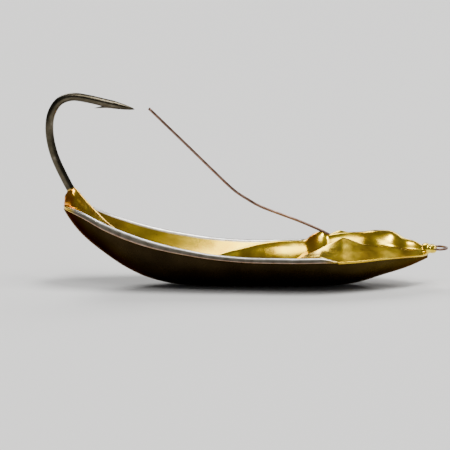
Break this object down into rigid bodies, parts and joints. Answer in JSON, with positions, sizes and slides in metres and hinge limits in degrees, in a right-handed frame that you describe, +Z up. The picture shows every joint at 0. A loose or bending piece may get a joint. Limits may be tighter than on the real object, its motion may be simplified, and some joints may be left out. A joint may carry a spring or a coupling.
{
  "type": "weedless spoon lure",
  "caption": "Boat-shaped plated fishing spoon with a fixed hook over the tail, a sprung wire weed guard and a line tie loop at the nose.",
  "frame": {"origin": "middle of the lure's length on its centre plane, at the height of the surface that the blade's keel rests on", "axes": "+X towards the nose and line tie, +Z up towards the hook, Y across; the lure is symmetric about the XZ plane but for the bent eye inside the head"},
  "size_m": [0.0836, 0.023, 0.0403],
  "materials": {
    "gold_plate": "polished gold plate over brass, worn to pale metal along the cut edge, brown tarnish in the bowl and on the belly",
    "gold_casting": "polished gold plate over soft cast metal, small tarnish specks",
    "amber_solder": "plated solder fillet, amber where the plate has darkened",
    "hook_steel": "bronzed hook steel, worn to grey on top",
    "guard_wire": "bronzed spring wire, dull brown",
    "tie_wire": "bronzed steel wire, dull brown"
  },
  "bodies": {
    "lure": {"blade": "gold_plate", "head_casting": "gold_casting", "hook": "hook_steel", "tail_solder": "amber_solder", "guard_stub": "guard_wire", "line_tie": "tie_wire", "nose_collar": "gold_casting"},
    "guard": {"weed_guard": "guard_wire"}
  },
  "joints": [
    {"name": "guard_flex", "type": "hinge", "parent": "lure", "child": "guard", "pos_m": [0.0152, 0, 0.0116], "axis": [0, -1, 0], "range_deg": [-8, 28], "stiffness_Nm_per_rad": 0.04}
  ]
}
